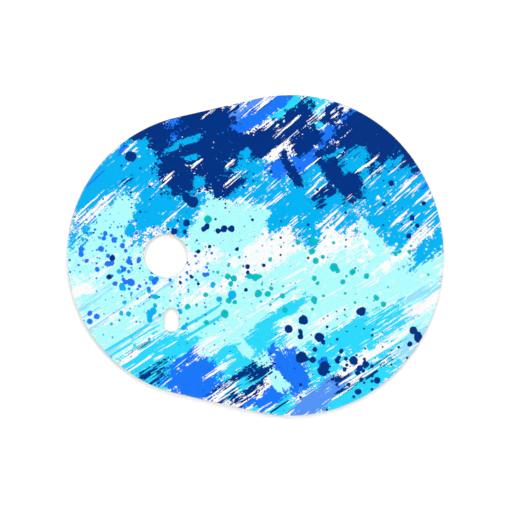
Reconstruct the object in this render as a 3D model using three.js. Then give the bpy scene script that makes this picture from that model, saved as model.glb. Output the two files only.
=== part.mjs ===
// A die-cut printed vinyl sticker on its release liner: a skin for the top of a small body-worn sensor.
// Millimetres, +Z up. The liner's back is at z = 0 and the printed side faces up. X runs along the length,
// from the narrow heel to the blunt nose, and the outline is the same on both sides of the X axis.
import * as THREE from "three";

// Outline: a nose arc, a shoulder arc and a straight flank on each side, and a heel arc that closes it.
const length = 22.4;
const nose = { radius: 9.9, halfAngle: 40 };
const shoulder = { radius: 8.9, endAngle: 103 };

// Openings cut through every layer.
const sensorHole = { x: -5.33, y: 0, radius: 1.29 };
const keySlot = { x: -5, y: -3.83, width: 0.9, height: 1.38, corner: 0.42 };

// The layers, from the surface the sticker lies on to its face.
const layers = [
  { name: "liner_paper", thickness: 0.12, colour: 0xf3efe6, roughness: 0.85 },
  { name: "liner_release_coat", thickness: 0.004, colour: 0xf6f6f2, roughness: 0.25 },
  { name: "sticker_adhesive", thickness: 0.03, colour: 0xe9ebe8, roughness: 0.35 },
  { name: "face_film", thickness: 0.09, colour: 0xfdfdfd, roughness: 0.45 },
  { name: "printed_ink", thickness: 0.01, colour: 0x4fc8f0, roughness: 0.4 },
  { name: "overlaminate_adhesive", thickness: 0.02, colour: 0xf4f8fa, roughness: 0.2 },
  { name: "overlaminate_film", thickness: 0.06, colour: 0xf2f7fa, roughness: 0.2 },
];

const stepAngle = THREE.MathUtils.degToRad(2.5); // between two points on the outline
const holeSteps = 40;
const cornerSteps = 8;

// Points on an arc, both ends included.
function arcPoints(centreX, centreY, radius, from, to, steps) {
  const points = [];
  for (let i = 0; i <= steps; i++) {
    const angle = from + ((to - from) * i) / steps;
    points.push(new THREE.Vector2(centreX + radius * Math.cos(angle), centreY + radius * Math.sin(angle)));
  }
  return points;
}

// The upper half's arcs are tangent to each other, and the flank is tangent to the shoulder and the heel.
function outlinePoints() {
  const noseEnd = THREE.MathUtils.degToRad(nose.halfAngle);
  const shoulderEnd = THREE.MathUtils.degToRad(shoulder.endAngle);
  const noseX = length / 2 - nose.radius;
  const shoulderX = noseX + (nose.radius - shoulder.radius) * Math.cos(noseEnd);
  const shoulderY = (nose.radius - shoulder.radius) * Math.sin(noseEnd);
  const flankReach =
    shoulderX * Math.cos(shoulderEnd) + shoulderY * Math.sin(shoulderEnd) + shoulder.radius;
  const heelRadius =
    (flankReach + (length / 2) * Math.cos(shoulderEnd)) / (1 + Math.cos(shoulderEnd));
  const heelX = heelRadius - length / 2;

  const arc = (x, y, radius, from, to) =>
    arcPoints(x, y, radius, from, to, Math.ceil((to - from) / stepAngle));
  const upperShoulder = arc(shoulderX, shoulderY, shoulder.radius, noseEnd, shoulderEnd);
  const lowerShoulder = upperShoulder.map((p) => new THREE.Vector2(p.x, -p.y)).reverse();
  return [
    ...arc(noseX, 0, nose.radius, -noseEnd, noseEnd).slice(1, -1),
    ...upperShoulder,
    ...arc(heelX, 0, heelRadius, shoulderEnd, 2 * Math.PI - shoulderEnd),
    ...lowerShoulder,
  ];
}

function slotPoints({ x, y, width, height, corner }) {
  const reachX = width / 2 - corner;
  const reachY = height / 2 - corner;
  const corners = [
    [reachX, reachY, 0],
    [-reachX, reachY, 1],
    [-reachX, -reachY, 2],
    [reachX, -reachY, 3],
  ];
  return corners.flatMap(([dx, dy, quarter]) =>
    arcPoints(x + dx, y + dy, corner, (quarter * Math.PI) / 2, ((quarter + 1) * Math.PI) / 2, cornerSteps),
  );
}

function dieCutShape() {
  const shape = new THREE.Shape(outlinePoints());
  const { x, y, radius } = sensorHole;
  const circle = arcPoints(x, y, radius, 0, 2 * Math.PI, holeSteps).slice(0, -1);
  shape.holes.push(new THREE.Path(circle), new THREE.Path(slotPoints(keySlot)));
  return shape;
}

// One layer, cut to the common shape, with its underside at height z.
function makeLayer({ name, thickness, colour, roughness }, shape, z) {
  const geometry = new THREE.ExtrudeGeometry(shape, { depth: thickness, bevelEnabled: false });
  const material = new THREE.MeshStandardMaterial({ color: colour, roughness, metalness: 0 });
  const mesh = new THREE.Mesh(geometry, material);
  mesh.name = name;
  mesh.position.z = z;
  return mesh;
}

const sticker = new THREE.Group();
const shape = dieCutShape();
let height = 0;
for (const layer of layers) {
  sticker.add(makeLayer(layer, shape, height));
  height += layer.thickness;
}

export default sticker;
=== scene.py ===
import functools
import math
import random
import bmesh
import bpy
import numpy as np
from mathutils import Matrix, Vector
from mathutils.geometry import delaunay_2d_cdt


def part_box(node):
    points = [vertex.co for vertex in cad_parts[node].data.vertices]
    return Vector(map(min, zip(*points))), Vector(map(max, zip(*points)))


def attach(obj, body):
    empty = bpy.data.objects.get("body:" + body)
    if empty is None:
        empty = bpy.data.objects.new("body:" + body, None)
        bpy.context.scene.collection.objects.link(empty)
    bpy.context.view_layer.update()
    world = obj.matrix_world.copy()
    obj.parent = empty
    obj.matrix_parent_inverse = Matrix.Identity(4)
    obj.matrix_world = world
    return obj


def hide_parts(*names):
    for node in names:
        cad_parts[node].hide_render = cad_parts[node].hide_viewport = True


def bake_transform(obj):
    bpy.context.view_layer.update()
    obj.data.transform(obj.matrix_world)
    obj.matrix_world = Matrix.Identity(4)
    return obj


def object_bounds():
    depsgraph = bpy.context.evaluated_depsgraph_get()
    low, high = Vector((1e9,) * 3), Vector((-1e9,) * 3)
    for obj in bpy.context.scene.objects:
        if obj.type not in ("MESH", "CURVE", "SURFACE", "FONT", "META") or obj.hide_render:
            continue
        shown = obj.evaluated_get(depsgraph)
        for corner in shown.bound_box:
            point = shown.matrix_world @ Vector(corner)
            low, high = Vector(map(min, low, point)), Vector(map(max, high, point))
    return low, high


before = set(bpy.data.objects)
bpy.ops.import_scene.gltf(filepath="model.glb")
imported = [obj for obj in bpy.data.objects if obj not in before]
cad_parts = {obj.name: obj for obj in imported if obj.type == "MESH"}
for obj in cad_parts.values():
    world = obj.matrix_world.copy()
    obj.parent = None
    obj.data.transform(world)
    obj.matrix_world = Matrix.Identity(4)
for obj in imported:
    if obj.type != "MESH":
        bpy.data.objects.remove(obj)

mm = 0.001  # the scene is in metres, and sizes below are in millimetres
tiny = 1e-7  # nearer than this, two points are one
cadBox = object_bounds()  # the CAD model's box, before any piece is made
print("frame loaded:", len(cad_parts), "layers")


def linear(hexColour, alpha=1.0):  # sRGB hex to the linear colour that shaders take
    parts = [int(hexColour[i:i + 2], 16) / 255 for i in (1, 3, 5)]
    return [c / 12.92 if c <= 0.04045 else ((c + 0.055) / 1.055) ** 2.4 for c in parts] + [alpha]


def addNode(tree, kind, settings=(), links=()):  # one shader node, its settings and what feeds it
    node = tree.nodes.new(kind if kind.startswith("NodeGroup") else "ShaderNode" + kind)
    for name, value in dict(settings).items():
        if isinstance(name, str) and hasattr(node, name):
            setattr(node, name, value)
        else:
            node.inputs[name].default_value = value
    for name, source in dict(links).items():  # a socket, or a node, which feeds by its first socket
        tree.links.new(getattr(source, "outputs", [source])[0], node.inputs[name])
    return node


def newMaterial(name):  # a material and its node tree, still empty
    material = bpy.data.materials.new(name)
    material.use_nodes = True
    material.node_tree.nodes.clear()
    return material, material.node_tree


placeOnSheet = {"uv_map": "sheetPlace"}  # this map holds each point's place on the sheet in millimetres

camera = {
    "lensMm": 100,
    "viewWidthMm": 30.42,  # width of the square view at the print
    "aimMm": (0.03, -0.04),
    "clipM": (0.002, 20),
}


def makeCamera():  # straight above the print, with +Y up in the view
    data = bpy.data.cameras.new("overheadCamera")
    data.lens = camera["lensMm"]
    data.clip_start, data.clip_end = camera["clipM"]
    overhead = bpy.data.objects.new("overheadCamera", data)
    distance = camera["viewWidthMm"] * mm * camera["lensMm"] / data.sensor_width
    overhead.location = (camera["aimMm"][0] * mm, camera["aimMm"][1] * mm, cadBox[1].z + distance)
    bpy.context.scene.collection.objects.link(overhead)
    bpy.context.scene.camera = overhead


makeCamera()
print("camera set")


# The plan that the die cuts through every layer at once.
cut = {
    "latticeMm": 0.45,  # spacing of the points inside the sheet
    "edgeClearMm": 0.16,  # how near a lattice point may come to the cut
    "supportMm": 0.02,  # a ring this far inside the rim keeps the flat part flat in the shading
    "rimSteps": 2,  # steps round the small radius of a rim
    "weldMm": 1e-5,
    "sharpDeg": 40,
}


def turn(points):  # twice the signed area: above 0 where the loop runs anticlockwise
    after = np.roll(points, -1, axis=0)
    return float(np.sum(points[:, 0] * after[:, 1] - points[:, 1] * after[:, 0]))


def cutLoops(nodeName):  # the closed lines that the die follows, in mm: outline, hole and slot
    mesh = bmesh.new()
    mesh.from_mesh(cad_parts[nodeName].data)
    bmesh.ops.remove_doubles(mesh, verts=mesh.verts, dist=tiny)
    low = min(v.co.z for v in mesh.verts)
    walls = {f for f in mesh.faces if abs(f.normal.z) < 0.5}
    rim = [
        e for e in mesh.edges
        if all(v.co.z - low < tiny for v in e.verts) and any(f in walls for f in e.link_faces)
    ]
    loops = []
    while rim:
        edge = rim.pop()
        line = [edge.verts[0], edge.verts[1]]
        while line[-1] is not line[0]:
            edge = next(e for e in rim if line[-1] in e.verts)
            rim.remove(edge)
            line.append(edge.other_vert(line[-1]))
        loops.append(np.array([v.co.xy for v in line[:-1]]) / mm)
    mesh.free()
    loops.sort(key=lambda p: -np.ptp(p[:, 0]))
    return [p if (turn(p) > 0) == (i == 0) else p[::-1] for i, p in enumerate(loops)]


def inset(points, distance):  # the sheet lies to the left of every loop, so this moves a loop into it
    along = np.roll(points, -1, axis=0) - np.roll(points, 1, axis=0)
    along /= np.linalg.norm(along, axis=1)[:, None]
    return points + distance * np.stack([-along[:, 1], along[:, 0]], axis=1)


def insideSheet(points, loops):  # even-odd rule over every loop
    odd = np.zeros(len(points), bool)
    for loop in loops:
        for (ax, ay), (bx, by) in zip(loop, np.roll(loop, -1, axis=0)):
            if ay != by:
                crosses = (ay > points[:, 1]) != (by > points[:, 1])
                odd ^= crosses & (points[:, 0] < ax + (points[:, 1] - ay) * (bx - ax) / (by - ay))
    return odd


def latticePoints(loops):  # evenly spaced points inside the sheet, clear of the cut
    step = cut["latticeMm"]
    low, high = loops[0].min(0), loops[0].max(0)
    rows = np.arange(low[1], high[1], step * math.sqrt(3) / 2)
    points = np.array([
        (x + (r % 2) * step / 2, y) for r, y in enumerate(rows) for x in np.arange(low[0], high[0], step)
    ])
    points = points[insideSheet(points, loops)]
    rim = np.concatenate(loops)
    nearest = np.array([np.min(np.hypot(*(rim - p).T)) for p in points])
    return points[nearest > cut["edgeClearMm"]]


dieLoops = cutLoops("face_film")
lattice = latticePoints(dieLoops)


@functools.cache
def flatFaces(depth):  # corners and triangles of the sheet with its rim moved in by this depth
    loops = [inset(loop, depth) for loop in dieLoops]
    points = [Vector(p) for loop in loops for p in loop]
    edges, start = [], 0
    for loop in loops:
        edges += [(start + i, start + (i + 1) % len(loop)) for i in range(len(loop))]
        start += len(loop)
    points += [Vector(p) for p in lattice]
    made = delaunay_2d_cdt(points, edges, [], 0, tiny)
    corners = np.array([p[:] for p in made[0]])
    triangles = np.array(made[2])
    return corners, triangles[insideSheet(corners[triangles].mean(1), loops)]


def rimProfile(low, high, topRadius, bottomRadius, recess):  # (inset, height) pairs up the cut face
    steps = [math.pi / 2 * i / cut["rimSteps"] for i in range(cut["rimSteps"] + 1)]
    turns = [(1 - math.sin(a), 1 - math.cos(a)) for a in steps]
    foot = [(recess + bottomRadius * s, low + bottomRadius * c) for s, c in turns]
    head = [(recess + topRadius * c, high - topRadius * s) for s, c in turns]
    rings = (foot if bottomRadius else foot[:1]) + (head if topRadius else head[-1:])
    support = cut["supportMm"]
    return [(rings[0][0] + support, low)] + rings + [(rings[-1][0] + support, high)]


def makeSheet(name, look, material):  # one layer, as a closed mesh in place of its CAD node
    lowCorner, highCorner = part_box(look["cadNode"])
    low = lowCorner.z / mm + look.get("gapBelowMm", 0)
    high = highCorner.z / mm - look.get("gapAboveMm", 0)
    radii = (look.get("topRimMm", 0), look.get("bottomRimMm", 0))
    profile = rimProfile(low, high, *radii, look.get("recessMm", 0))
    mesh = bmesh.new()
    cutFace = mesh.verts.layers.float.new("cutFace")
    for depth, z, up in ((profile[0][0], low, False), (profile[-1][0], high, True)):
        corners, triangles = flatFaces(round(depth, 4))
        verts = [mesh.verts.new((x, y, z)) for x, y in corners]
        for a, b, c in triangles:
            order = (a, b, c) if (turn(corners[[a, b, c]]) > 0) == up else (a, c, b)
            mesh.faces.new([verts[i] for i in order])
    for loop in dieLoops:
        rings = []
        for i, (depth, z) in enumerate(profile):
            rings.append([mesh.verts.new((x, y, z)) for x, y in inset(loop, depth)])
            for vert in rings[-1]:
                vert[cutFace] = 0.0 if i in (0, len(profile) - 1) else 1.0
        for lower, upper in zip(rings, rings[1:]):
            for i in range(len(loop)):
                j = (i + 1) % len(loop)
                mesh.faces.new([lower[i], lower[j], upper[j], upper[i]])
    bmesh.ops.remove_doubles(mesh, verts=mesh.verts, dist=cut["weldMm"])
    loose = [v for v in mesh.verts if not v.link_faces]
    bmesh.ops.delete(mesh, geom=loose, context="VERTS")
    bmesh.ops.recalc_face_normals(mesh, faces=mesh.faces)
    for edge in mesh.edges:
        edge.smooth = edge.calc_face_angle(0) < math.radians(cut["sharpDeg"])
    uv = mesh.loops.layers.uv.new("sheetPlace")
    for face in mesh.faces:
        face.smooth = True
        for corner in face.loops:
            corner[uv].uv = corner.vert.co.xy
    bmesh.ops.scale(mesh, vec=(mm, mm, mm), verts=mesh.verts)
    data = bpy.data.meshes.new(name)
    mesh.to_mesh(data)
    mesh.free()
    piece = bpy.data.objects.new(name, data)
    bpy.context.scene.collection.objects.link(piece)
    piece.data.materials.append(material)
    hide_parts(look["cadNode"])
    print(name, len(data.polygons), "faces")
    return piece


# Inks as they look through the clear film.
ink = {
    "paper": "#FEFDFD",
    "aqua": "#B2FEFE",
    "mist": "#98E3FD",
    "cyan": "#2DDBFD",
    "sky": "#02B4F5",
    "royal": "#1B79FC",
    "cornflower": "#5596F8",
    "navy": "#013385",
    "teal": "#0CBFC9",
}

# Each layer of paint, in the order it is laid: its ink, the slant of its strokes in degrees, and its strokes
# as (x, y, half length, half width) in mm. "torn" and "bristle" roughen the edge, evenly and along the
# strokes, more of a stroke is bare the higher "dry" is, and "straight" keeps thin strokes from wandering.
paintLayers = [
    {"ink": "aqua", "slant": 30, "torn": 0.55, "bristle": 0.45, "dry": 0.26, "strokes": [
        (-9.8, 0.2, 2.2, 1.4), (-8.0, -1.0, 2.0, 1.4), (-9.0, -3.2, 3.0, 1.3), (-6.6, -2.6, 2.2, 1.2),
        (-8.4, -4.9, 2.4, 1.1), (-5.4, -4.2, 2.2, 0.9), (-3.2, -3.6, 2.2, 0.9), (-2.9, -4.9, 1.9, 0.8),
        (-2.4, -1.1, 2.0, 0.6), (-0.6, -2.6, 2.4, 1.1), (-0.2, -4.2, 2.2, 1.0), (1.6, -1.5, 2.6, 1.1),
        (4.4, -1.5, 2.4, 1.5), (6.8, -1.5, 2.4, 1.4), (4.4, -3.2, 2.4, 1.1), (9.6, -0.8, 2.4, 1.0),
        (8.2, -2.5, 2.4, 1.1), (9.8, -4.3, 1.8, 0.6), (3.4, -4.4, 1.8, 0.8), (-0.6, -5.6, 1.0, 0.4)]},
    {"ink": "mist", "slant": 36, "torn": 0.10, "bristle": 0.5, "dry": 0.41, "straight": True, "strokes": [
        (-9.6, -2.6, 1.2, 0.20), (-8.3, -3.4, 2.4, 0.12), (-7.4, -4.9, 2.0, 0.20), (-5.8, -2.2, 1.3, 0.12),
        (10.2, -2.1, 1.6, 0.36), (8.2, -4.3, 1.3, 0.25), (8.9, -5.6, 1.2, 0.60), (10.1, -4.6, 1.0, 0.3)]},
    {"ink": "sky", "slant": 41, "torn": 0.50, "bristle": 0.40, "dry": 0.17, "strokes": [
        (-8.9, 4.2, 4.0, 1.7), (-6.8, 5.2, 2.7, 1.5), (-6.1, 3.0, 2.4, 1.6), (-4.3, 3.0, 1.8, 1.0),
        (-4.2, 1.8, 0.8, 0.5), (-0.9, 4.9, 1.7, 1.5), (0.9, 3.6, 1.6, 1.5), (1.2, 2.2, 0.9, 0.8),
        (2.8, 3.0, 1.8, 2.0), (3.1, 1.5, 0.9, 0.9), (3.9, 4.9, 1.4, 1.1), (5.3, 3.4, 1.7, 1.5),
        (5.8, 1.6, 0.5, 0.5), (7.3, 4.7, 2.4, 1.8), (7.9, 2.5, 1.7, 1.4), (8.3, 1.2, 0.8, 0.7),
        (9.7, 3.6, 2.0, 1.7), (9.8, 2.2, 1.9, 1.2), (10.5, 0.6, 1.7, 0.6), (9.5, 5.4, 0.8, 0.6)]},
    {"ink": "aqua", "slant": 60, "torn": 0.50, "bristle": 0.1, "dry": 0.02, "strokes": [
        (-8.0, 2.6, 1.1, 0.7), (-8.9, 1.9, 0.8, 0.8), (-8.6, 1.0, 1.0, 1.0), (-2.3, 2.2, 1.2, 1.1),
        (-3.2, 1.0, 0.9, 0.9), (-0.6, 1.9, 1.2, 1.0), (0.0, 2.2, 0.8, 0.6), (-1.5, 0.7, 0.8, 1.2)]},
    {"ink": "aqua", "slant": -48, "torn": 0.35, "bristle": 0.2, "dry": 0.03, "strokes": [
        (6.8, 1.2, 1.1, 0.35)]},
    {"ink": "paper", "slant": 38, "torn": 1.0, "bristle": 0.5, "dry": 0.36, "strokes": [
        (-3.2, 0.0, 0.9, 0.3), (-0.8, -0.1, 1.0, 0.4), (1.6, 0.3, 1.2, 0.5), (4.6, 0.5, 1.6, 0.4),
        (8.3, -0.2, 1.4, 0.3), (-3.4, -2.3, 1.0, 0.25), (-7.4, 1.0, 0.6, 0.15), (-6.2, 1.4, 0.5, 0.25)]},
    {"ink": "cyan", "slant": 31, "torn": 0.35, "bristle": 0.45, "dry": 0.21, "strokes": [
        (-6.6, -6.3, 2.5, 0.9), (-6.0, -7.3, 1.7, 1.1), (-4.9, -5.7, 1.6, 0.7), (-2.4, -6.2, 1.7, 0.4),
        (-0.9, -6.3, 2.0, 0.7), (0.6, -5.0, 1.2, 0.9), (1.0, -3.7, 1.5, 0.3), (2.2, -3.1, 1.2, 0.3),
        (5.4, -5.2, 2.7, 1.0), (7.3, -4.2, 1.9, 0.7), (4.0, -6.5, 1.1, 0.8), (3.1, -7.5, 0.8, 0.7),
        (6.4, -7.6, 2.3, 0.9), (5.2, -8.7, 1.4, 0.6), (1.6, -9.1, 1.0, 0.3), (0.8, -8.9, 1.5, 0.4),
        (-0.6, -7.4, 1.6, 0.6)]},
    {"ink": "cyan", "slant": 31, "torn": 0.08, "bristle": 0.30, "dry": 0.16, "straight": True, "strokes": [
        (-3.3, -3.7, 1.5, 0.09), (-3.2, -4.3, 1.4, 0.09), (-7.6, -4.9, 1.8, 0.08), (-6.5, -4.6, 0.9, 0.05),
        (-8.0, -5.6, 0.9, 0.06), (9.0, -6.7, 1.2, 0.12), (9.3, -4.4, 1.4, 0.04), (-9.8, -3.4, 0.7, 0.03),
        (1.4, -2.5, 1.3, 0.05), (7.7, -5.7, 1.8, 0.06)]},
    {"ink": "cyan", "slant": 40, "torn": 0.45, "bristle": 0.3, "dry": 0.06, "strokes": [
        (2.3, 8.9, 0.9, 0.8), (3.5, 9.1, 1.0, 0.6), (1.3, 8.3, 0.5, 0.3), (3.7, 7.9, 0.5, 0.4)]},
    {"ink": "royal", "slant": 38, "torn": 0.45, "bristle": 0.30, "dry": 0.08, "strokes": [
        (-3.7, -7.5, 1.5, 1.4), (-4.3, -6.2, 1.0, 0.2), (-3.1, -6.5, 0.5, 0.4), (1.0, -8.4, 1.1, 0.5),
        (-0.5, 8.1, 2.0, 0.7), (1.0, 9.1, 1.3, 0.5), (-4.9, 7.5, 0.9, 0.6), (4.2, 7.1, 1.0, 0.55),
        (2.9, 5.8, 1.1, 0.65), (1.3, 5.1, 0.5, 0.6), (-1.5, 6.3, 0.9, 0.2), (5.7, 8.4, 0.6, 0.35),
        (4.8, 9.0, 0.7, 0.16), (-7.8, 6.3, 0.4, 0.15), (9.4, 4.6, 0.5, 0.16), (4.1, -6.3, 0.3, 0.25),
        (-0.7, -8.9, 0.8, 0.25), (0.9, -5.7, 0.5, 0.2)]},
    {"ink": "royal", "slant": 42, "torn": 0.05, "bristle": 0.3, "dry": 0.16, "straight": True, "strokes": [
        (-9.6, 4.5, 0.8, 0.05), (-5.2, -7.3, 0.8, 0.08), (10.1, 4.1, 0.3, 0.1)]},
    {"ink": "royal", "slant": -62, "torn": 0.35, "bristle": 0.25, "dry": 0.03, "strokes": [
        (2.2, -6.9, 1.4, 0.9)]},
    {"ink": "aqua", "slant": -52, "torn": 0.30, "bristle": 0.3, "dry": 0.03, "strokes": [
        (1.0, -7.0, 1.4, 0.35), (-0.6, -5.6, 0.5, 0.4)]},
    {"ink": "cornflower", "slant": 38, "torn": 0.20, "bristle": 0.4, "dry": 0.24, "strokes": [
        (3.6, -8.6, 1.8, 0.65), (4.9, -7.6, 1.1, 0.3), (-1.2, 8.5, 0.7, 0.4), (0.2, 9.2, 1.1, 0.14)]},
    {"ink": "navy", "slant": 0, "torn": 0.60, "bristle": 0.10, "dry": 0.00, "strokes": [
        (-6.5, 7.4, 1.6, 0.7), (-5.7, 6.9, 0.8, 0.8), (-4.8, 5.2, 1.1, 1.2), (-4.5, 4.6, 1.0, 1.0),
        (-2.7, 5.2, 1.3, 1.3), (-3.8, 6.2, 1.8, 0.9), (-2.4, 6.6, 1.6, 1.1), (-3.4, 7.9, 1.4, 1.1),
        (-2.2, 7.7, 0.9, 0.9), (-0.6, 6.7, 2.2, 0.75), (-2.1, 4.1, 0.5, 0.5)]},
    {"ink": "navy", "slant": 38, "torn": 0.45, "bristle": 0.30, "dry": 0.06, "strokes": [
        (-2.6, 8.2, 1.0, 0.5), (0.6, 6.8, 1.4, 0.7), (2.3, 7.9, 1.5, 0.8), (3.0, 6.8, 1.0, 0.7),
        (4.6, 8.4, 0.8, 0.5), (6.4, 7.9, 1.6, 1.0), (7.7, 6.9, 1.8, 1.4), (6.0, 7.0, 1.7, 0.8),
        (8.9, 6.2, 0.9, 1.0), (4.3, 5.9, 0.8, 0.5), (5.0, 5.0, 0.9, 0.9), (9.6, 5.1, 0.4, 0.2)]},
    {"ink": "navy", "slant": -50, "torn": 0.35, "bristle": 0.30, "dry": 0.02, "strokes": [
        (2.1, 5.1, 1.3, 0.3), (5.3, 4.5, 1.5, 0.7), (1.5, 6.1, 0.4, 0.3)]},
    {"ink": "navy", "slant": 34, "torn": 0.70, "bristle": 0.6, "dry": 0.41, "straight": True, "strokes": [
        (-6.2, -7.2, 0.9, 0.5), (-5.8, -6.6, 0.8, 0.12), (-1.0, -7.7, 1.9, 0.6), (-2.2, -8.7, 1.2, 0.25),
        (0.2, -7.1, 0.8, 0.3), (-0.4, -8.2, 1.0, 0.3), (5.5, -6.9, 1.0, 0.25), (7.2, -6.7, 1.0, 0.12),
        (6.2, -7.4, 1.6, 0.14), (-1.7, 8.5, 0.8, 0.2), (4.2, 3.7, 0.8, 0.35), (-1.6, 4.2, 1.0, 0.4),
        (-7.7, 4.4, 0.5, 0.14), (-5.6, 4.1, 0.5, 0.16), (3.9, 3.0, 0.3, 0.2), (5.6, 3.4, 0.5, 0.25)]},
    {"ink": "navy", "slant": 34, "torn": 0.08, "bristle": 0.25, "dry": 0.16, "straight": True, "strokes": [
        (7.0, -8.2, 0.9, 0.05), (1.4, -9.0, 0.7, 0.06), (-6.9, -5.5, 0.8, 0.06), (8.6, 5.4, 0.5, 0.05),
        (7.4, -6.3, 0.8, 0.03), (6.9, -7.1, 0.5, 0.08), (0.4, 8.8, 0.6, 0.05)]},
    {"ink": "sky", "slant": 24, "torn": 0.6, "bristle": 0.30, "dry": 0.08, "strokes": [
        (-4.3, 6.7, 1.1, 0.22), (-3.9, 5.8, 0.4, 0.15), (-3.4, 4.3, 0.4, 0.25), (4.7, 6.1, 0.5, 0.15)]},
    {"ink": "sky", "slant": 41, "torn": 0.4, "bristle": 0.3, "dry": 0.16, "strokes": [
        (5.9, 5.7, 0.9, 0.5), (8.2, 5.6, 0.6, 0.2), (-0.6, 6.0, 0.3, 0.3), (-6.7, 6.7, 0.5, 0.3)]},
    {"ink": "paper", "slant": 40, "torn": 0.50, "bristle": 0.5, "dry": 0.48, "straight": True, "strokes": [
        (1.9, 7.7, 0.9, 0.12), (0.9, 7.8, 0.5, 0.08), (1.4, 6.3, 0.8, 0.22), (2.2, 7.1, 0.4, 0.12),
        (0.8, 9.2, 1.0, 0.12), (0.1, 8.9, 1.0, 0.07), (-0.6, 9.1, 0.9, 0.07), (-2.7, 8.5, 0.6, 0.12),
        (3.7, 8.5, 0.7, 0.16), (4.9, 8.8, 0.6, 0.08), (3.8, 8.2, 0.4, 0.10), (4.7, 8.3, 0.3, 0.08),
        (3.3, 5.4, 0.6, 0.06), (6.6, 5.4, 0.8, 0.12), (8.4, 5.2, 0.7, 0.04), (-7.4, 6.5, 0.5, 0.10),
        (-3.5, 5.5, 0.4, 0.08), (-1.5, 5.4, 0.4, 0.12), (-1.2, 4.6, 0.7, 0.12), (-3.1, 4.6, 0.3, 0.07)]},
    {"ink": "paper", "slant": 42, "torn": 0.40, "bristle": 0.6, "dry": 0.59, "straight": True, "strokes": [
        (-0.2, 3.8, 1.6, 0.5), (0.9, 3.3, 0.7, 0.25), (1.2, 4.4, 0.7, 0.16), (-6.1, 4.0, 1.4, 0.4),
        (-6.6, 5.4, 1.2, 0.12), (-9.4, 2.8, 2.0, 0.25), (-10.4, 2.5, 1.4, 0.14), (6.4, 4.2, 1.6, 0.14),
        (8.3, 3.5, 1.8, 0.22), (9.6, 4.0, 0.9, 0.18), (4.9, 2.3, 1.3, 0.45), (8.8, 2.3, 0.6, 0.25),
        (10.6, 2.6, 0.8, 0.35), (9.8, 1.2, 1.7, 0.4), (3.7, 3.9, 0.6, 0.35), (-5.0, 2.1, 0.5, 0.35),
        (5.0, 3.1, 0.8, 0.12), (2.2, 2.1, 0.3, 0.4), (9.4, 2.9, 1.5, 0.12), (8.6, 1.5, 1.3, 0.14),
        (10.4, 3.6, 0.8, 0.14), (7.4, 3.3, 1.2, 0.10)]},
    {"ink": "paper", "slant": 33, "torn": 0.30, "bristle": 0.6, "dry": 0.50, "straight": True, "strokes": [
        (-2.2, -8.4, 1.2, 0.4), (-0.9, -8.8, 1.0, 0.16), (-6.6, -5.5, 1.6, 0.18), (-7.0, -6.5, 1.2, 0.07),
        (-2.2, -6.8, 1.0, 0.14), (3.4, -7.9, 1.3, 0.12), (0.4, -9.3, 0.8, 0.2), (6.4, -6.2, 1.7, 0.2),
        (6.6, -7.0, 1.4, 0.14), (5.6, -7.3, 0.8, 0.07), (-7.4, -3.0, 2.4, 0.14), (-5.4, -1.5, 1.8, 0.16),
        (-2.9, -5.4, 0.9, 0.35), (0.7, -2.9, 1.5, 0.2), (8.7, -4.8, 1.8, 0.2), (4.4, -8.7, 1.4, 0.05),
        (-10.0, -1.6, 1.2, 0.2), (3.9, -4.0, 2.0, 0.22), (9.2, -3.4, 2.3, 0.2), (1.9, -4.4, 0.6, 0.25)]},
]

# Drops thrown off the brush. Each throw is (how many drops, x, y, reach along x and y, least and largest
# radius) in mm, and chance settles where in it they land.
dropLayers = [
    {"ink": "teal", "throws": [
        (12, -1.6, -2.6, 2.6, 1.9, 0.14, 0.26), (15, 2.4, -1.2, 2.8, 2.2, 0.12, 0.25),
        (8, 6.4, -1.2, 3.0, 2.0, 0.11, 0.20), (3, 9.4, 0.2, 1.4, 0.6, 0.12, 0.17),
        (1, -2.9, 2.0, 0.2, 0.2, 0.22, 0.24)]},
    {"ink": "sky", "throws": [
        (14, -7.2, -2.4, 1.3, 2.2, 0.12, 0.21), (6, -5.2, -4.0, 1.5, 0.9, 0.12, 0.18),
        (3, -2.0, -2.2, 1.4, 0.6, 0.16, 0.28), (2, -7.3, 1.4, 0.3, 0.2, 0.22, 0.32)]},
    {"ink": "royal", "throws": [
        (13, -9.1, 0.2, 1.5, 1.1, 0.12, 0.19), (13, -7.2, -1.2, 1.4, 1.0, 0.11, 0.19),
        (3, -9.8, -3.6, 0.5, 0.6, 0.12, 0.18), (4, -3.6, -0.8, 1.6, 0.9, 0.09, 0.13)]},
    {"ink": "navy", "throws": [
        (2, -7.5, 5.8, 0.9, 0.3, 0.27, 0.33), (3, -4.2, 3.3, 0.6, 0.3, 0.22, 0.40),
        (8, -3.4, 1.9, 2.4, 0.8, 0.13, 0.22), (10, -1.8, -1.0, 3.0, 1.8, 0.10, 0.18),
        (2, -8.6, -0.9, 0.3, 1.2, 0.17, 0.19), (9, 3.2, -5.0, 1.5, 1.2, 0.13, 0.36),
        (12, 4.9, -6.9, 1.8, 1.3, 0.13, 0.32), (7, 6.6, -7.4, 1.0, 1.0, 0.12, 0.20),
        (6, 9.2, -4.8, 0.5, 0.5, 0.12, 0.40), (2, 6.2, -3.3, 0.2, 0.2, 0.20, 0.26),
        (6, 8.8, 2.8, 1.6, 1.8, 0.12, 0.20)]},
]
drop = {
    "smallMostly": 1.5,  # above 1, small drops outnumber large ones
    "joinMm": 0.12,  # how near two drops of one ink come before they run together
    "wobblePerMm": 2.8,
    "wobbleMm": 0.15,  # how far a drop's outline wanders from round
}


def landDrops(throws, seed):  # where each drop lands, and its radius
    chance = random.Random(seed)
    drops = []
    for count, x, y, reachX, reachY, least, largest in throws:
        for _ in range(count):
            angle = chance.uniform(0, 2 * math.pi)
            far = math.sqrt(chance.random())
            radius = least + (largest - least) * chance.random() ** drop["smallMostly"]
            drops.append((x + reachX * far * math.cos(angle), y + reachY * far * math.sin(angle), radius))
    return drops


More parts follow.
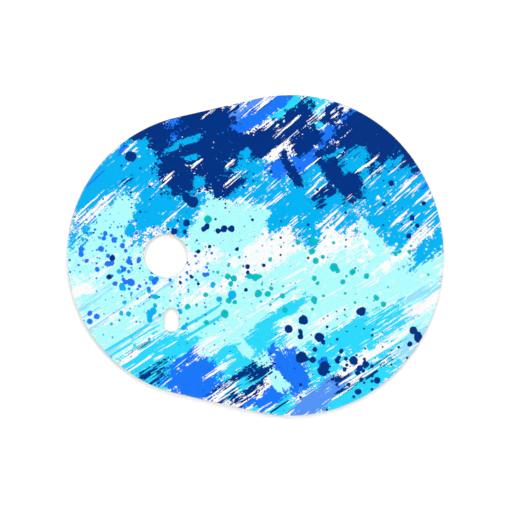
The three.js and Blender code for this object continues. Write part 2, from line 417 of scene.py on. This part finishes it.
# Fine spray, one drop to a cell at most: cells per mm, the largest radius, how readily a cell gets a drop,
# and where it fell, as (x, y, reach along x and y) in mm.
sprayLayers = [
    {"ink": "sky", "perMm": 2.1, "radius": 0.14, "share": 0.36, "around": (-8.2, 1.6, 2.6, 1.6)},
    {"ink": "aqua", "perMm": 2.3, "radius": 0.13, "share": 0.45, "around": (5.0, 0.5, 7.0, 1.0)},
    {"ink": "royal", "perMm": 2.0, "radius": 0.14, "share": 0.42, "around": (-7.0, -0.3, 4.6, 2.8)},
    {"ink": "navy", "perMm": 1.9, "radius": 0.15, "share": 0.32, "around": (5.6, -6.4, 4.2, 2.2)},
    {"ink": "teal", "perMm": 1.6, "radius": 0.14, "share": 0.30, "around": (3.4, -0.8, 7.0, 2.8)},
    {"ink": "navy", "perMm": 1.8, "radius": 0.11, "share": 0.13, "around": (-1.0, 3.0, 10.0, 6.0)},
    {"ink": "sky", "perMm": 1.8, "radius": 0.14, "share": 0.34, "around": (-5.8, -3.0, 3.4, 2.6)},
]
spray = {
    "trail": 0.6,  # how slowly the spray thins out: 0 ends it sharply, and near 1 it trails off
    "seedStepMm": (11.7, 5.9),  # how far one layer's cells lie from the next one's
}

# The marks a brush leaves, each as (marks per mm along the stroke, marks per mm across, detail, roughness).
brush = {
    "torn": (1.8, 1.8, 3, 0.95),
    "bristle": (0.4, 6.5, 3, 0.7),
    "dry": (0.38, 7.0, 3, 0.6),
    "patch": (0.5, 0.9, 1, 0.5),
    "tear": 7.0,  # how deep the torn marks cut into a stroke's edge
    "fray": 7.0,  # and the bristle marks
    "dryPatches": 0.45,  # how far the bare streaks gather in patches
    "wetBelow": 0.85,  # a wet stroke is bare only where the dry marks rise above this
    "dryDrop": 0.7,  # and how far that limit drops in a dry one
    "wanderPerMm": 1.1,
    "wanderMm": 0.7,  # how far a stroke's outline wanders from a plain swipe
    "seedStepMm": (7.3, 3.1),  # how far one layer's marks lie from the next one's
}


def brushNoise(tree, place, layer, seed, mark):  # noise drawn out along the layer's strokes
    along, across, detail, rough = brush[mark]
    stepX, stepY = brush["seedStepMm"]
    drawnOut = addNode(tree, "Mapping", {
        "vector_type": "TEXTURE", "Location": (seed * stepX, seed * stepY + across, 0),
        "Rotation": (0, 0, math.radians(layer["slant"])), "Scale": (1 / along, 1 / across, 1),
    }, {"Vector": place})
    return addNode(tree, "TexNoise", {
        "noise_dimensions": "2D", "Scale": 1.0, "Detail": detail, "Roughness": rough,
    }, {"Vector": drawnOut})


def paintStrokes(tree, guide, layer, seed):  # 1 where the layer's brushed paint covers the sheet, else 0
    slant = math.radians(layer["slant"])
    cosine, sine = math.cos(slant), math.sin(slant)
    place = addNode(tree, "UVMap", placeOnSheet)
    along = addNode(tree, "VectorMath", {"operation": "DOT_PRODUCT", 1: (cosine, sine, 0)}, {0: guide})
    across = addNode(tree, "VectorMath", {"operation": "DOT_PRODUCT", 1: (-sine, cosine, 0)}, {0: guide})
    turned = addNode(tree, "CombineXYZ", {}, {0: along.outputs["Value"], 1: across.outputs["Value"]})
    reach = None
    for x, y, halfLength, halfWidth in layer["strokes"]:
        middleAlong = x * cosine + y * sine
        middleAcross = -x * sine + y * cosine
        stretched = addNode(tree, "VectorMath", {
            "operation": "MULTIPLY_ADD", 1: (1 / halfLength, 1 / halfWidth, 0),
            2: (-middleAlong / halfLength, -middleAcross / halfWidth, 0),
        }, {0: turned})
        # squaring each side first turns the ellipse into a swipe with blunt ends
        blunt = addNode(tree, "VectorMath", {"operation": "MULTIPLY"}, {0: stretched, 1: stretched})
        distance = addNode(tree, "VectorMath", {"operation": "LENGTH"}, {0: blunt}).outputs["Value"]
        if reach is not None:
            distance = addNode(tree, "Math", {"operation": "MINIMUM"}, {0: reach, 1: distance})
        reach = distance
    marks = ("torn", "bristle", "dry", "patch")
    torn, bristle, dry, patch = [brushNoise(tree, place, layer, seed, mark) for mark in marks]
    # the middle of each noise is 0.5, so half its depth is added to the limit that it is held against
    tear = brush["tear"] * layer["torn"]
    fray = brush["fray"] * layer["bristle"]
    edge = addNode(tree, "Math", {"operation": "MULTIPLY_ADD", 1: tear}, {0: torn, 2: reach})
    edge = addNode(tree, "Math", {"operation": "MULTIPLY_ADD", 1: fray}, {0: bristle, 2: edge})
    limit = 1 + 0.5 * tear + 0.5 * fray
    covered = addNode(tree, "Math", {"operation": "LESS_THAN", 1: limit}, {0: edge})
    bare = addNode(tree, "Math", {"operation": "MULTIPLY_ADD", 1: brush["dryPatches"]}, {0: patch, 2: dry})
    limit = 0.5 * brush["dryPatches"] + brush["wetBelow"] - brush["dryDrop"] * layer["dry"]
    wet = addNode(tree, "Math", {"operation": "LESS_THAN", 1: limit}, {0: bare})
    return addNode(tree, "Math", {"operation": "MULTIPLY"}, {0: covered, 1: wet})


def paintDrops(tree, guide, layer, seed):  # 1 under the layer's drops, which run together where they touch
    join = {"operation": "SMOOTH_MIN", 2: drop["joinMm"]}
    reach = None
    for x, y, radius in landDrops(layer["throws"], seed):
        middle = addNode(tree, "VectorMath", {"operation": "DISTANCE", 1: (x, y, 0)}, {0: guide})
        distance = addNode(tree, "Math", {"operation": "SUBTRACT", 1: radius}, {0: middle.outputs["Value"]})
        if reach is not None:
            distance = addNode(tree, "Math", join, {0: reach, 1: distance})
        reach = distance
    return addNode(tree, "Math", {"operation": "LESS_THAN", 1: 0.0}, {0: reach})


def paintSpray(tree, guide, layer, seed):  # 1 under the layer's spray, which thins out away from its middle
    x, y, halfLength, halfWidth = layer["around"]
    stepX, stepY = spray["seedStepMm"]
    place = addNode(tree, "UVMap", placeOnSheet)
    shifted = addNode(tree, "Mapping", {"Location": (seed * stepX, seed * stepY, 0)}, {"Vector": place})
    cells = addNode(tree, "TexVoronoi", {
        "voronoi_dimensions": "2D", "Scale": layer["perMm"],
    }, {"Vector": shifted})
    stretched = addNode(tree, "VectorMath", {
        "operation": "MULTIPLY_ADD", 1: (1 / halfLength, 1 / halfWidth, 0),
        2: (-x / halfLength, -y / halfWidth, 0),
    }, {0: guide})
    far = addNode(tree, "VectorMath", {"operation": "LENGTH"}, {0: stretched}).outputs["Value"]
    chance = addNode(tree, "SeparateColor", {}, {0: cells.outputs["Color"]})
    luck = addNode(tree, "Math", {"operation": "MULTIPLY_ADD", 1: layer["share"]}, {0: far, 2: chance})
    largest = layer["radius"] * layer["perMm"]
    size = addNode(tree, "MapRange", {
        "clamp": False, "From Min": 0.0, "From Max": layer["share"],
        "To Min": largest, "To Max": spray["trail"] * largest,
    }, {"Value": luck})
    return addNode(tree, "Math", {"operation": "LESS_THAN"}, {0: cells.outputs["Distance"], 1: size})


def paintGroup(tree, paint, guide, below, layer, seed):  # one layer of paint over what lies below it
    group = bpy.data.node_groups.new(layer["ink"] + "Paint", "ShaderNodeTree")
    group.interface.new_socket("guide", in_out="INPUT", socket_type="NodeSocketVector")
    group.interface.new_socket("below", in_out="INPUT", socket_type="NodeSocketColor")
    group.interface.new_socket("colour", in_out="OUTPUT", socket_type="NodeSocketColor")
    given = addNode(group, "NodeGroupInput").outputs
    amount = paint(group, given["guide"], layer, seed)
    fresh = linear(ink[layer["ink"]])
    over = addNode(group, "Mix", {"data_type": "RGBA", 7: fresh}, {0: amount, 6: given["below"]}).outputs[2]
    addNode(group, "NodeGroupOutput", {}, {"colour": over})
    return addNode(tree, "Group", {"node_tree": group}, {"guide": guide, "below": below})


def wander(tree, place, perMm, far):  # the place on the sheet, moved about by soft noise
    noise = addNode(tree, "TexNoise", {
        "noise_dimensions": "2D", "Scale": perMm, "Detail": 3,
    }, {"Vector": place})
    moved = addNode(tree, "VectorMath", {
        "operation": "MULTIPLY_ADD", 1: (far, far, 0),
    }, {0: noise.outputs["Color"], 2: place})
    return addNode(tree, "VectorMath", {"operation": "SUBTRACT", 1: (far / 2, far / 2, 0)}, {0: moved})


printedInk = {
    "cadNode": "printed_ink",
    "slot": "printed_ink",
    "gapAboveMm": 0.001,
    "gapBelowMm": 0.001,
    "ior": 1.48,
    "roughness": 0.45,
    "densityPerMm": 4.0,  # print heads lay dots of 0.02 mm, drawn ten times as coarse to show
    "densityChange": 0.03,
}


def printedVinylInk():  # eco-solvent ink jetted on vinyl and dried: dead flat colour with crisp edges
    material, tree = newMaterial("printedVinylInk")
    place = addNode(tree, "UVMap", placeOnSheet)
    wandering = wander(tree, place, brush["wanderPerMm"], brush["wanderMm"])
    wobbled = wander(tree, place, drop["wobblePerMm"], drop["wobbleMm"])
    colour = addNode(tree, "RGB")
    colour.outputs[0].default_value = linear(ink["paper"])
    for seed, layer in enumerate(paintLayers, 1):
        guide = place if layer.get("straight") else wandering
        colour = paintGroup(tree, paintStrokes, guide, colour, layer, seed)
    for seed, layer in enumerate(sprayLayers, 1):
        colour = paintGroup(tree, paintSpray, place, colour, layer, seed)
    for seed, layer in enumerate(dropLayers, 1):
        colour = paintGroup(tree, paintDrops, wobbled, colour, layer, seed)
    dots = addNode(tree, "TexNoise", {
        "noise_dimensions": "2D", "Scale": printedInk["densityPerMm"], "Detail": 3, "Roughness": 0.7,
    }, {"Vector": place})
    change = printedInk["densityChange"]
    density = addNode(tree, "MapRange", {"To Min": 1 - change, "To Max": 1 + change}, {"Value": dots})
    colour = addNode(tree, "HueSaturation", {}, {"Color": colour, "Value": density})
    surface = addNode(tree, "BsdfPrincipled", {  # the glue above wets it, so it has no gloss of its own
        "Roughness": printedInk["roughness"], "IOR": printedInk["ior"], "Specular IOR Level": 0.0,
    }, {"Base Color": colour})
    addNode(tree, "OutputMaterial", {}, {0: surface})
    return material


def frostCut(tree, look, clear):  # a clear layer's shader, with the milky cut face that the knife leaves
    milky = addNode(tree, "BsdfPrincipled", {
        "Base Color": linear(look["cutColour"]), "Roughness": look["cutRoughness"], "IOR": look["ior"],
    })
    walls = addNode(tree, "Attribute", {"attribute_name": "cutFace"}).outputs["Fac"]
    frost = addNode(tree, "Math", {"operation": "MULTIPLY", 1: look["cutFrost"]}, {0: walls})
    surface = addNode(tree, "MixShader", {}, {0: frost, 1: clear, 2: milky})
    addNode(tree, "OutputMaterial", {}, {0: surface})


overlaminateFilm = {
    "cadNode": "overlaminate_film",
    "slot": "clear_overlaminate",
    "gapBelowMm": 0.001,
    "topRimMm": 0.012,
    "ior": 1.54,
    "roughness": 0.14,
    "peelPerMm": 2.6,  # orange peel left by the calender rolls, about 0.4 mm across
    "linesPerMm": (0.06, 1.1),  # and faint lines along the web
    "lineShare": 0.5,  # how deep the lines are beside the orange peel
    "depthMm": 0.0006,
    "cutColour": "#EDF1F2",
    "cutRoughness": 0.6,
    "cutFrost": 0.35,  # how milky the cut face is
}


def clearCalenderedVinyl():  # clear PVC rolled between polished rolls: wet-looking gloss, faint orange peel
    look = overlaminateFilm
    material, tree = newMaterial("clearCalenderedVinyl")
    place = addNode(tree, "UVMap", placeOnSheet)
    dimples = addNode(tree, "TexNoise", {
        "noise_dimensions": "2D", "Scale": look["peelPerMm"], "Detail": 2,
    }, {"Vector": place})
    web = addNode(tree, "Mapping", {"Scale": (*look["linesPerMm"], 1)}, {"Vector": place})
    lines = addNode(tree, "TexNoise", {"noise_dimensions": "2D", "Scale": 1.0, "Detail": 3}, {"Vector": web})
    height = addNode(tree, "Math", {
        "operation": "MULTIPLY_ADD", 1: look["lineShare"],
    }, {0: lines, 2: dimples})
    bump = addNode(tree, "Bump", {"Strength": 1.0, "Distance": look["depthMm"] * mm}, {"Height": height})
    clear = addNode(tree, "BsdfTransparent")
    gloss = addNode(tree, "BsdfGlossy", {"Roughness": look["roughness"]}, {"Normal": bump})
    fresnel = addNode(tree, "Fresnel", {"IOR": look["ior"]}, {"Normal": bump})
    # only a face seen from outside is glossy, so that the film's two faces don't both mirror
    inner = addNode(tree, "NewGeometry").outputs["Backfacing"]
    outer = addNode(tree, "Math", {"operation": "SUBTRACT", 0: 1.0}, {1: inner})
    share = addNode(tree, "Math", {"operation": "MULTIPLY"}, {0: fresnel, 1: outer})
    film = addNode(tree, "MixShader", {}, {0: share, 1: clear, 2: gloss})
    frostCut(tree, look, film)
    return material


overlaminateAdhesive = {
    "cadNode": "overlaminate_adhesive",
    "slot": "clear_adhesive",
    "gapAboveMm": 0.001,
    "gapBelowMm": 0.001,
    "recessMm": 0.006,  # the soft layer springs back a little behind the cut
    "ior": 1.47,
    "colours": ("#FFFFFF", "#FCFDFD"),
    "hazePerMm": 5.0,
    "cutColour": "#E9ECEC",
    "cutRoughness": 0.5,
    "cutFrost": 0.25,
}


def opticallyClearAcrylic():  # wet-laid clear acrylic glue: it joins film to print and all but vanishes
    look = overlaminateAdhesive
    material, tree = newMaterial("opticallyClearAcrylic")
    place = addNode(tree, "UVMap", placeOnSheet)
    haze = addNode(tree, "TexNoise", {
        "noise_dimensions": "2D", "Scale": look["hazePerMm"], "Detail": 2,
    }, {"Vector": place})
    clearest, haziest = [linear(c) for c in look["colours"]]
    tint = addNode(tree, "Mix", {"data_type": "RGBA", 6: clearest, 7: haziest}, {0: haze})
    clear = addNode(tree, "BsdfTransparent", {}, {0: tint.outputs[2]})
    frostCut(tree, look, clear)
    return material


def layFinish(tree, look, tone, relief, sheen):  # opaque: colour by tone, bump by relief, roughness by sheen
    first, second = [linear(c) for c in look["colours"]]
    colour = addNode(tree, "Mix", {"data_type": "RGBA", 6: first, 7: second}, {0: tone}).outputs[2]
    if "cutColour" in look:
        walls = addNode(tree, "Attribute", {"attribute_name": "cutFace"}).outputs["Fac"]
        bared = {"data_type": "RGBA", 7: linear(look["cutColour"])}
        colour = addNode(tree, "Mix", bared, {0: walls, 6: colour}).outputs[2]
    bump = addNode(tree, "Bump", {
        "Strength": look["bump"], "Distance": look["depthMm"] * mm,
    }, {"Height": relief})
    roughFrom, roughTo = look["roughness"]
    rough = addNode(tree, "MapRange", {"To Min": roughFrom, "To Max": roughTo}, {"Value": sheen})
    surface = addNode(tree, "BsdfPrincipled", {"IOR": look["ior"]}, {
        "Base Color": colour, "Roughness": rough, "Normal": bump,
    })
    addNode(tree, "OutputMaterial", {}, {0: surface})


faceFilm = {
    "cadNode": "face_film",
    "slot": "white_vinyl",
    "gapAboveMm": 0.001,
    "gapBelowMm": 0.001,
    "ior": 1.54,
    "colours": ("#F2F3F3", "#FAFAF9"),
    "roughness": (0.34, 0.46),
    "cloudPerMm": 0.8,  # filler clouds about a millimetre across
    "grainPerMm": 9.0,  # matt roll grain of 0.05 mm, drawn twice as coarse to show
    "depthMm": 0.001,
    "bump": 0.6,
}


def whiteCalenderedVinyl():  # PVC filled with titanium white, rolled to a satin face: opaque, even and cool
    look = faceFilm
    material, tree = newMaterial("whiteCalenderedVinyl")
    place = addNode(tree, "UVMap", placeOnSheet)
    cloud = addNode(tree, "TexNoise", {
        "noise_dimensions": "2D", "Scale": look["cloudPerMm"], "Detail": 4,
    }, {"Vector": place})
    grain = addNode(tree, "TexNoise", {
        "noise_dimensions": "2D", "Scale": look["grainPerMm"], "Detail": 2,
    }, {"Vector": place})
    layFinish(tree, look, cloud, grain, grain)
    return material


stickerAdhesive = {
    "cadNode": "sticker_adhesive",
    "slot": "acrylic_adhesive",
    "gapAboveMm": 0.001,
    "gapBelowMm": 0.001,
    "recessMm": 0.008,
    "ior": 1.47,
    "colours": ("#C3C5C6", "#D6D7D7"),
    "roughness": (0.10, 0.34),
    "ribsPerMm": (0.12, 1.6),  # comma-bar ribs about 0.6 mm apart, along the web
    "stipplePerMm": 6.0,  # stipple where it has let go of the liner
    "stippleShare": 0.4,  # how deep the stipple is beside the ribs
    "depthMm": 0.004,
    "bump": 0.8,
}


def tackyAcrylicGlue():  # solvent acrylic dried to a soft skin: wet shine, coating ribs, fine stipple
    look = stickerAdhesive
    material, tree = newMaterial("tackyAcrylicGlue")
    place = addNode(tree, "UVMap", placeOnSheet)
    web = addNode(tree, "Mapping", {"Scale": (*look["ribsPerMm"], 1)}, {"Vector": place})
    ribs = addNode(tree, "TexNoise", {"noise_dimensions": "2D", "Scale": 1.0, "Detail": 2}, {"Vector": web})
    stipple = addNode(tree, "TexNoise", {
        "noise_dimensions": "2D", "Scale": look["stipplePerMm"], "Detail": 4, "Roughness": 0.6,
    }, {"Vector": place})
    height = addNode(tree, "Math", {
        "operation": "MULTIPLY_ADD", 1: look["stippleShare"],
    }, {0: stipple, 2: ribs})
    layFinish(tree, look, ribs, height, stipple)
    return material


linerReleaseCoat = {
    "cadNode": "liner_release_coat",
    "slot": "silicone_coat",
    "gapAboveMm": 0.0005,
    "gapBelowMm": 0.0005,
    "ior": 1.41,
    "colours": ("#D9CDB0", "#E8DFC9"),  # the paper's own, seen through the coat
    "roughness": (0.24, 0.36),
    "liePerMm": 0.9,  # the paper's lie, which the coat follows
    "fibresPerMm": (0.8, 7.0),  # the paper's fibres, along the web
    "depthMm": 0.001,
    "bump": 0.6,
}


def curedSilicone():  # silicone cured on paper in a film of 1 g/m2: slick shine over the paper's colour
    look = linerReleaseCoat
    material, tree = newMaterial("curedSilicone")
    place = addNode(tree, "UVMap", placeOnSheet)
    lie = addNode(tree, "TexNoise", {
        "noise_dimensions": "2D", "Scale": look["liePerMm"], "Detail": 5,
    }, {"Vector": place})
    web = addNode(tree, "Mapping", {"Scale": (*look["fibresPerMm"], 1)}, {"Vector": place})
    fibre = addNode(tree, "TexNoise", {
        "noise_dimensions": "2D", "Scale": 1.0, "Detail": 3, "Distortion": 0.6,
    }, {"Vector": web})
    layFinish(tree, look, fibre, lie, lie)
    return material


linerPaper = {
    "cadNode": "liner_paper",
    "slot": "liner_paper",
    "gapAboveMm": 0.0005,
    "bottomRimMm": 0.01,
    "ior": 1.5,
    "colours": ("#D2C4A2", "#E9DFC8"),
    "cutColour": "#F6F4EE",  # the knife bares white pulp
    "roughness": (0.84, 0.68),  # between the fibres, and on them
    "fibresPerMm": 5.5,  # kraft fibres are 0.03 mm wide and 3 mm long, drawn about six times as wide
    "fibreSlimness": 0.12,  # their width over their length, as drawn
    "fibreSlantsDeg": (12, -21, 74),
    "fibreNoise": (0.52, 0.66),  # a fibre rises where its noise runs from the first of these to the second
    "crossShare": 0.5,  # how strong the fibres of the last slant are beside the others
    "cloudPerMm": 0.35,  # pulp clouds, seen on any sheet held to the light
    "fibreTone": 0.35,  # how far the fibres lighten the paper
    "depthMm": 0.006,
    "bump": 0.7,
}


def bleachedKraftPaper():  # long softwood fibres, supercalendered: cream, matt, crossed fibres
    look = linerPaper
    material, tree = newMaterial("bleachedKraftPaper")
    place = addNode(tree, "UVMap", placeOnSheet)
    widthMm = 1 / look["fibresPerMm"]
    noiseFrom, noiseTo = look["fibreNoise"]
    fibres = []
    for slant in look["fibreSlantsDeg"]:
        web = addNode(tree, "Mapping", {
            "vector_type": "TEXTURE", "Rotation": (0, 0, math.radians(slant)),
            "Scale": (widthMm / look["fibreSlimness"], widthMm, 1),
        }, {"Vector": place})
        strands = addNode(tree, "TexNoise", {
            "noise_dimensions": "2D", "Scale": 1.0, "Detail": 3, "Roughness": 0.6, "Distortion": 0.8,
        }, {"Vector": web})
        ridge = addNode(tree, "MapRange", {"From Min": noiseFrom, "From Max": noiseTo}, {"Value": strands})
        fibres.append(ridge)
    lie = addNode(tree, "Math", {"operation": "MAXIMUM"}, {0: fibres[0], 1: fibres[1]})
    lie = addNode(tree, "Math", {"operation": "MULTIPLY_ADD", 1: look["crossShare"]}, {0: fibres[2], 2: lie})
    cloud = addNode(tree, "TexNoise", {
        "noise_dimensions": "2D", "Scale": look["cloudPerMm"], "Detail": 4,
    }, {"Vector": place})
    tone = addNode(tree, "Math", {"operation": "MULTIPLY_ADD", 1: look["fibreTone"]}, {0: lie, 2: cloud})
    layFinish(tree, look, tone, lie, lie)
    return material


for name, look, material in (
    ("linerPaper", linerPaper, bleachedKraftPaper),
    ("linerReleaseCoat", linerReleaseCoat, curedSilicone),
):
    piece = makeSheet(name, look, material())
    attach(piece, "liner")

for name, look, material in (
    ("stickerAdhesive", stickerAdhesive, tackyAcrylicGlue),
    ("faceFilm", faceFilm, whiteCalenderedVinyl),
    ("printedInk", printedInk, printedVinylInk),
    ("overlaminateAdhesive", overlaminateAdhesive, opticallyClearAcrylic),
    ("overlaminateFilm", overlaminateFilm, clearCalenderedVinyl),
):
    piece = makeSheet(name, look, material())
    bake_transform(piece)


floorLook = {"halfSizeM": 0.6, "belowM": 0.00001, "colour": "#F5F5F5"}


def makeFloor():  # a plain white sweep just under the liner
    half = floorLook["halfSizeM"]
    corners = [(-half, -half, 0), (half, -half, 0), (half, half, 0), (-half, half, 0)]
    mesh = bpy.data.meshes.new("floor")
    mesh.from_pydata(corners, [], [(0, 1, 2, 3)])
    floor = bpy.data.objects.new("floor", mesh)
    floor.location.z = -floorLook["belowM"]
    bpy.context.scene.collection.objects.link(floor)
    material, tree = newMaterial("mattPaperSweep")
    surface = addNode(tree, "BsdfDiffuse", {"Color": linear(floorLook["colour"])})
    addNode(tree, "OutputMaterial", {}, {0: surface})
    mesh.materials.append(material)


makeFloor()

lamps = {  # softboxes kept off the zenith, so that none mirrors in the gloss from above
    "north": {"placeM": (0.05, 0.50, 0.56), "sizeM": 0.55, "watts": 3.0},
    "west": {"placeM": (-0.34, 0.05, 0.62), "sizeM": 0.34, "watts": 2.0},
    "east": {"placeM": (0.34, 0.05, 0.62), "sizeM": 0.34, "watts": 2.0},
    "south": {"placeM": (0.0, -0.55, 0.50), "sizeM": 0.4, "watts": 0.6},
}
for name, lamp in lamps.items():
    light = bpy.data.lights.new(name + "Softbox", "AREA")
    light.size = lamp["sizeM"]
    light.energy = lamp["watts"]
    softbox = bpy.data.objects.new(name + "Softbox", light)
    softbox.location = lamp["placeM"]
    softbox.rotation_euler = Vector(lamp["placeM"]).to_track_quat("Z", "Y").to_euler()
    bpy.context.scene.collection.objects.link(softbox)

room = {
    "horizon": 0.85,  # how bright the walls are low down
    "overhead": 0.0,
    "paleBelow": 0.15,  # they are that bright up to this height, as a share of straight up
    "darkAbove": 0.45,
}


def makeRoom():  # pale walls all round and a dark ceiling, so the gloss stays clear from above
    world = bpy.data.worlds.new("room")
    world.use_nodes = True
    tree = world.node_tree
    tree.nodes.clear()
    way = addNode(tree, "TexCoord").outputs["Generated"]
    up = addNode(tree, "SeparateXYZ", {}, {0: way}).outputs["Z"]
    shade = addNode(tree, "MapRange", {
        "From Min": room["paleBelow"], "From Max": room["darkAbove"],
        "To Min": room["horizon"], "To Max": room["overhead"],
    }, {"Value": up})
    glow = addNode(tree, "Background", {}, {"Color": shade})
    addNode(tree, "OutputWorld", {}, {0: glow})
    bpy.context.scene.world = world


makeRoom()
bpy.context.scene.view_settings.view_transform = "Standard"
print("floor, lamps and room set")
